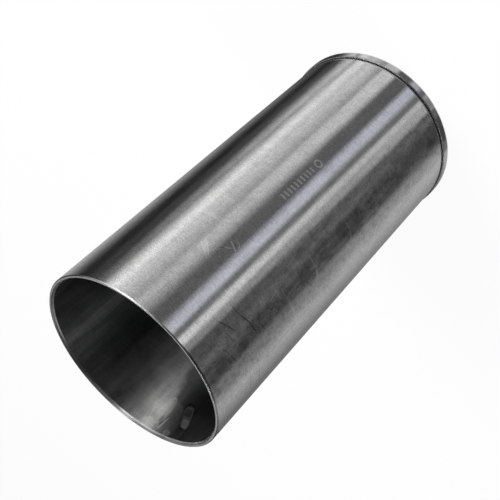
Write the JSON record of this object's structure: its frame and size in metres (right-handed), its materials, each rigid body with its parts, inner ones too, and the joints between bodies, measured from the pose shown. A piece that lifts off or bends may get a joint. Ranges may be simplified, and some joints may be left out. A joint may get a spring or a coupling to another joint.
{
  "type": "cylinder liner",
  "caption": "Dry flanged cylinder liner: a thin-walled turned iron sleeve with a seat flange at its head end and a tapered bore mouth at its plain tail end.",
  "frame": {"origin": "centre of the flange's top face, on which the liner stands", "axes": "+Z along the bore from the flange to the plain tail end; X and Y across the bore"},
  "size_m": [0.106, 0.106, 0.221],
  "materials": {
    "iron": "fine-ground barrel with a satin sheen, darker honed bore"
  },
  "bodies": {
    "root": {"liner": "iron"}
  },
  "joints": []
}
